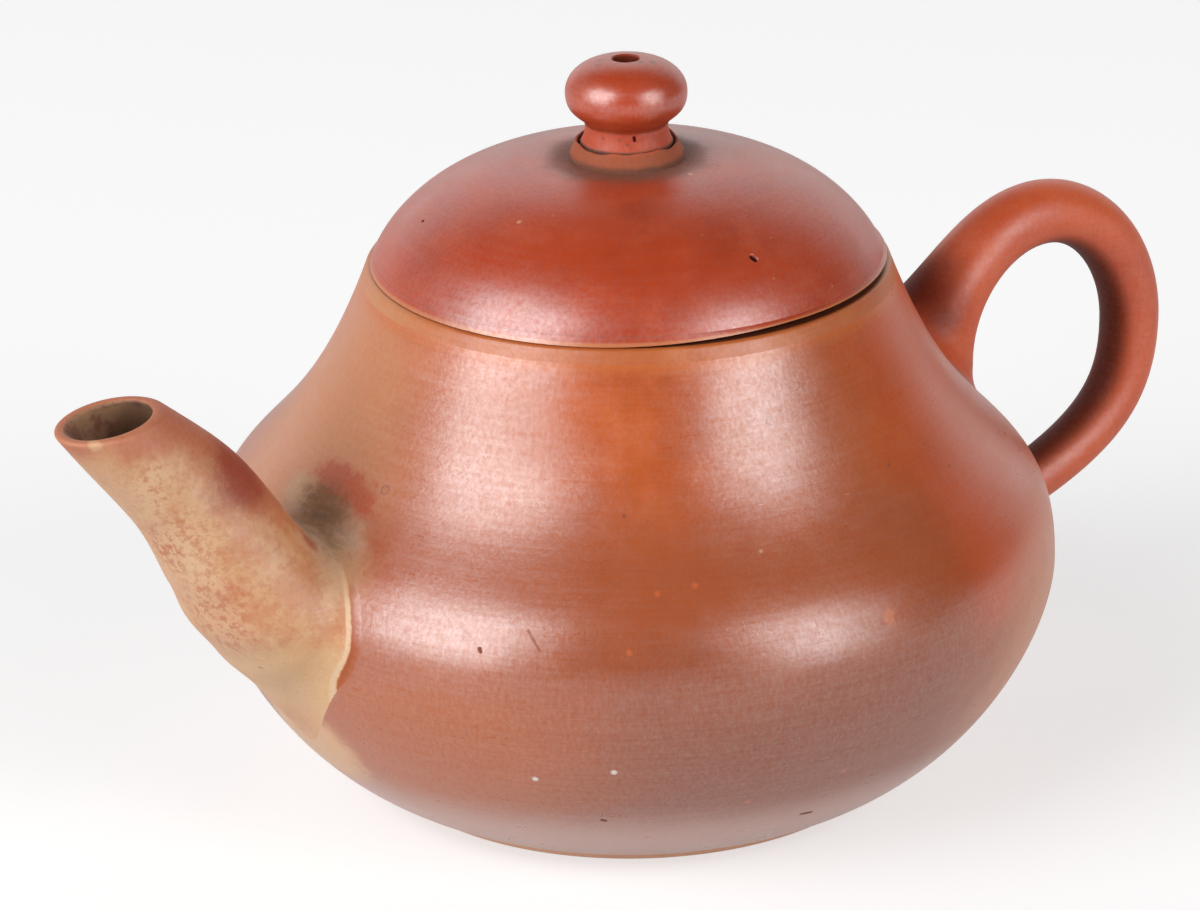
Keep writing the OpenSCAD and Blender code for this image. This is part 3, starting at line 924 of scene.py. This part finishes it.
def spout(finish):
    turns, rows, bore_rows, roll_rows = round_turns(120), 60, 45, 12
    bm = bmesh.new()
    rings, tops = luted_root(spout_point, turns, 0.6, run=2.6, skirt=2.2, under=0.9)
    for i in range(1, rows + 1):
        rings.append(([spout_point(mix(t, LIP_END, i / rows), a) for t, a in zip(tops, turns)], 0.0))

    def bore(t, turn):
        return spout_point(t, turn, mix(SPOUT_SKIN, LIP_SKIN, t))

    # The lip rolls over from the skin into the bore
    rolls = []
    for a in turns:
        out, back = spout_point(LIP_END, a), bore(LIP_END, a)
        lead = (out - spout_point(LIP_END - 0.01, a)).normalized() * LIP_SKIN * 2 / 3
        trail = (back - bore(LIP_END - 0.01, a)).normalized() * LIP_SKIN * 2 / 3
        rolls.append(interpolate_bezier(out, out + lead, back + trail, back, roll_rows + 2)[1:-1])
    rings += [(list(points), 0.0) for points in zip(*rolls)]
    outside = len(rings)
    ends = [leaves_body(bore, a, 0.6) - 2 * STEP for a in turns]
    for i in range(bore_rows + 1):
        rings.append(([bore(mix(LIP_END, t, i / bore_rows), a) for t, a in zip(ends, turns)], 0.0))
    loops = sleeve(bm, rings, "crest")
    bmesh.ops.bridge_loops(bm, edges=loops[0] + loops[-1])
    inside = bm.verts.layers.float.new("inside")
    for loop in loops[outside - 3:]:
        for e in loop:
            for v in e.verts:
                v[inside] = 1.0
    bmesh.ops.recalc_face_normals(bm, faces=bm.faces[:])
    return finished(bm, "spout", "pot", finish)


def handle(finish):
    turns, rows = round_turns(96), 150
    bm = bmesh.new()
    rings, tops = luted_root(handle_point, turns, 0.9, run=2.2, skirt=1.8)

    def from_below(t, turn):
        return handle_point(3 - t, turn)

    low_rings, low_tops = luted_root(from_below, turns, 0.9, run=1.8, skirt=1.4)
    for i in range(1, rows):
        s = i / rows
        rings.append(([handle_point(mix(t, 3 - b, s), a) for t, b, a in zip(tops, low_tops, turns)], 0.0))
    rings += low_rings[::-1]
    loops = sleeve(bm, rings, "inner")
    for loop in (loops[0], loops[-1]):
        bmesh.ops.contextual_create(bm, geom=loop)
    bmesh.ops.recalc_face_normals(bm, faces=bm.faces[:])
    return finished(bm, "handle", "pot", finish)


# Pieces of the lid
RIM_GAPE = 0.55
LID_LINE = bend(LID_SIDE, 90)
LID_INSIDE = beside(LID_LINE, LID_WALL)


def lid_r(z):
    for (r0, z0), (r1, z1) in zip(LID_LINE, LID_LINE[1:]):
        if z0 <= z <= z1 and z1 > z0:
            return mix(r0, r1, (z - z0) / (z1 - z0))
    return LID_R if z < MOUTH_Z else SEAT_R


def lid_flange(finish):
    line = [(FLANGE_IN_R, FLANGE_Z), (FLANGE_R, FLANGE_Z), (FLANGE_R, MOUTH_Z), (FLANGE_IN_R, MOUTH_Z)]
    ring = spun(line, 256)
    rounded(ring, sharp_edges(ring, FOLD, lambda r, z: z < FLANGE_Z + NEAR), 0.5, 4)
    layer = ring.verts.layers.float.new("inside")
    for v in ring.verts:
        v[layer] = 0.6
    return finished(ring, "lid_flange", "lid", finish)


def lid_plate(finish):
    outer = between(LID_LINE, MOUTH_Z, PLATE_TOP)
    ring = spun(outer + [(FLANGE_IN_R, PLATE_TOP), (FLANGE_IN_R, MOUTH_Z)], 288)
    rounded(ring, sharp_edges(ring, FOLD, lambda r, z: z < MOUTH_Z + NEAR and r > FLANGE_R), 0.2)
    # The worn rim lifts a little on one side, so the seam gapes there
    rim, under = ring.verts.layers.float.new("rim"), ring.verts.layers.float.new("inside")
    for v in ring.verts:
        r, z, turn = polar(v)
        turn = math.degrees(turn)
        side = smooth((turn + 135) / 50) * smooth((70 - turn) / 60)
        v[rim] = smooth((MOUTH_Z + 0.5 - z) / 0.2) * smooth((r - LID_R + 0.5) / 0.2)
        v[under] = 1.0 if r < LID_R - 0.35 else 0.0
        v.co.z += RIM_GAPE * MM * side * (PLATE_TOP - z) / (PLATE_TOP - MOUTH_Z) * smooth((r - 20.4) / 1.2)
    return finished(ring, "lid_plate", "lid", finish)


def lid_dome(finish):
    outer = between(LID_LINE, PLATE_TOP, LID_TOP)
    inner = between(LID_INSIDE, PLATE_TOP, LID_TOP - LID_WALL)
    line = outer + [(VENT_R, LID_TOP), (VENT_R, LID_TOP - LID_WALL)] + inner[::-1]
    dome = spun(line, 288)
    mark_inside(dome, lid_r, 0.4)
    pocks(dome, (
        ((-0.2, -18.68, 52.85), (-0.05, -18.82, 52.6), 0.34, 0.55),
        ((-17.54, 5.93, 52.89), (-17.5, 6.0, 52.8), 0.2, 0.08),
    ), 0.8)
    return finished(dome, "lid_dome", "lid", finish)


def knob_collar(finish):
    line = [
        (VENT_R, LID_TOP), (SEAT_R, LID_TOP), (SEAT_R, 57.35), (4.72, 57.95), (4.56, 58.42), (4.36, 58.42),
        (4.22, 57.95), (4.1, 57.95), (4.06, COLLAR_TOP), (VENT_R, COLLAR_TOP),
    ]
    collar = spun(line, 144)
    rounded(collar, sharp_edges(collar, 0.3, lambda r, z: r > 4 and z > LID_TOP + 0.1), 0.07)
    # The lip was pressed down by hand, so it wavers
    for v in collar.verts:
        r, z, turn = polar(v)
        share = smooth((r - 4.16) / 0.12) * smooth((z - 57.2) / 0.6)
        waver = math.sin(3 * turn + 1) + 0.6 * math.sin(7 * turn) + 0.4 * math.sin(13 * turn + 2)
        v.co.z += 0.1 * MM * share * waver
        grow = 1 + 0.012 * share * (math.sin(2 * turn) + 0.7 * math.sin(5 * turn + 1.5))
        v.co.x, v.co.y = v.co.x * grow, v.co.y * grow
    return finished(collar, "knob_collar", "lid", finish)


def knob(finish):
    side = bend(STEM_SIDE, 14)[:-1] + bend(BUN_LOW, 30)[:-1] + bend(BUN_TOP, 36)
    bun = spun(side + [(VENT_R, COLLAR_TOP)], 160)
    rounded(bun, sharp_edges(bun, 0.6, lambda r, z: z > KNOB_TOP - 0.05), 0.3, 4)
    pocks(bun, (((-1.54, -3.31, 59.69), (-1.5, -3.33, 59.45), 0.2, 0.1),), 0.35)
    return finished(bun, "knob", "lid", finish)


# Studio
LENS, SENSOR = 150.94, 36.0
EYE, LOOK, ROLL = (-0.23996, -0.34269, 0.19577), Vector((0.52768, 0.76425, -0.37079)), -0.8704
CAMERA_BEARING = -125
LAMP_AWAY, LAMP_AIM = 1.5, Vector((0, 0, 0.03))
FLOOR_HALF = 6.0
BACKDROP, SIDE_WALL, ROOM_LIGHT = 1.12, 0.42, 0.06
PAPER, PAPER_SEEN, PAPER_MIRRORED = 0.55, 0.56, 0.37


def camera():
    data = bpy.data.cameras.new("camera")
    data.lens, data.sensor_width = LENS, SENSOR
    data.clip_start, data.clip_end = 0.01, 50.0
    eye = bpy.data.objects.new("camera", data)
    eye.location = EYE
    eye.rotation_mode = "QUATERNION"
    eye.rotation_quaternion = LOOK.to_track_quat("-Z", "Y") @ Quaternion((0, 0, 1), math.radians(ROLL))
    bpy.context.scene.collection.objects.link(eye)
    bpy.context.scene.camera = eye


def outward(turn, rise=0):
    """Direction at a bearing from the camera's side of the pot and a height, in degrees."""
    turn, rise = math.radians(CAMERA_BEARING + turn), math.radians(rise)
    return Vector((math.cos(turn) * math.cos(rise), math.sin(turn) * math.cos(rise), math.sin(rise)))


def softbox(name, turn, rise, size, power):
    """A soft lamp aimed at the pot."""
    lamp = bpy.data.lights.new(name, "AREA")
    lamp.shape, lamp.size, lamp.size_y, lamp.energy = "RECTANGLE", size[0], size[1], power
    box = bpy.data.objects.new(name, lamp)
    away = outward(turn, rise)
    box.location = LAMP_AIM + away * LAMP_AWAY
    box.rotation_mode = "QUATERNION"
    box.rotation_quaternion = (-away).to_track_quat("-Z", "Y")
    bpy.context.scene.collection.objects.link(box)


class Studio:
    """Nodes of the world and the floor."""

    def __init__(self, tree):
        self.tree = tree
        tree.nodes.clear()

    def node(self, kind, *inputs, **settings):
        made = self.tree.nodes.new(kind)
        for key, value in settings.items():
            setattr(made, key, value)
        for socket, value in zip(made.inputs, inputs):
            if isinstance(value, bpy.types.NodeSocket):
                self.tree.links.new(value, socket)
            elif value is not None:
                socket.default_value = value
        return made.outputs[0] if made.outputs else made

    def maths(self, operation, a, b):
        return self.node("ShaderNodeMath", a, b, operation=operation)

    def ease(self, *inputs):
        """A value between two marks, eased from a start to an end."""
        return self.node("ShaderNodeMapRange", *inputs, interpolation_type="SMOOTHSTEP")

    def rays(self):
        return self.tree.nodes.new("ShaderNodeLightPath").outputs


def surroundings():
    """A white backdrop behind the pot and a greyer wall to its left; the room and its ceiling are dim."""
    world = bpy.data.worlds.new("studio")
    bpy.context.scene.world = world
    world.use_nodes = True
    sky = Studio(world.node_tree)
    where = sky.tree.nodes.new("ShaderNodeTexCoord").outputs["Generated"]
    apart = sky.tree.nodes.new("ShaderNodeSeparateXYZ")
    sky.tree.links.new(where, apart.inputs[0])

    def towards(turn):
        made = sky.tree.nodes.new("ShaderNodeVectorMath")
        made.operation = "DOT_PRODUCT"
        made.inputs[1].default_value = outward(turn)
        sky.tree.links.new(where, made.inputs[0])
        return made.outputs["Value"]

    low = sky.ease(apart.outputs["Z"], 0.55, 0.96, 1.0, 0.0)
    backdrop = sky.maths("MULTIPLY", sky.ease(towards(180), 0.42, 0.9, ROOM_LIGHT, BACKDROP), low)
    wall = sky.maths("MULTIPLY", sky.ease(towards(-112), 0.68, 0.95, ROOM_LIGHT, SIDE_WALL), low)
    lit = sky.maths("MAXIMUM", sky.maths("MAXIMUM", backdrop, wall), ROOM_LIGHT)
    rays = sky.rays()
    seen = sky.maths("MAXIMUM", rays["Is Camera Ray"], rays["Is Transmission Ray"])
    shade = sky.node("ShaderNodeBackground", (1, 1, 1, 1), sky.maths("MAXIMUM", lit, seen))
    sky.node("ShaderNodeOutputWorld", shade)


def floor():
    bm = bmesh.new()
    bmesh.ops.create_grid(bm, x_segments=8, y_segments=8, size=FLOOR_HALF)
    mesh = bpy.data.meshes.new("floor")
    bm.to_mesh(mesh)
    bm.free()
    sheet = bpy.data.objects.new("floor", mesh)
    bpy.context.scene.collection.objects.link(sheet)
    paper = bpy.data.materials.new("white_paper")
    paper.use_nodes = True
    nodes = Studio(paper.node_tree)
    rays = nodes.rays()
    seen = nodes.maths("MAXIMUM", rays["Is Camera Ray"], rays["Is Transmission Ray"])
    mirrored = nodes.maths("MULTIPLY", rays["Is Glossy Ray"], PAPER_MIRRORED)
    glow = nodes.maths("MAXIMUM", nodes.maths("MULTIPLY", seen, PAPER_SEEN), mirrored)
    matt = nodes.node("ShaderNodeBsdfDiffuse", (PAPER, PAPER, PAPER, 1))
    white = nodes.node("ShaderNodeEmission", (1, 1, 1, 1), glow)
    nodes.node("ShaderNodeOutputMaterial", nodes.node("ShaderNodeAddShader", matt, white))
    mesh.materials.append(paper)


camera()
surroundings()
floor()
softbox("left_softbox", -52.8, 26, (1.09, 1.3), 24.0)
softbox("right_softbox", 50.5, 20, (0.7, 1.16), 13.4)

pot_finish, edge_finish, lid_finish = body_clay(), edge_clay(), lid_clay()
foot_ring(edge_finish)
base_disc(pot_finish)
body_wall(pot_finish)
mouth_ring(edge_finish)
spout(spout_clay())
handle(handle_clay())
lid_flange(lid_finish)
lid_plate(lid_finish)
lid_dome(lid_finish)
knob_collar(lid_finish)
knob(lid_finish)

bpy.context.scene.view_settings.view_transform = "Standard"
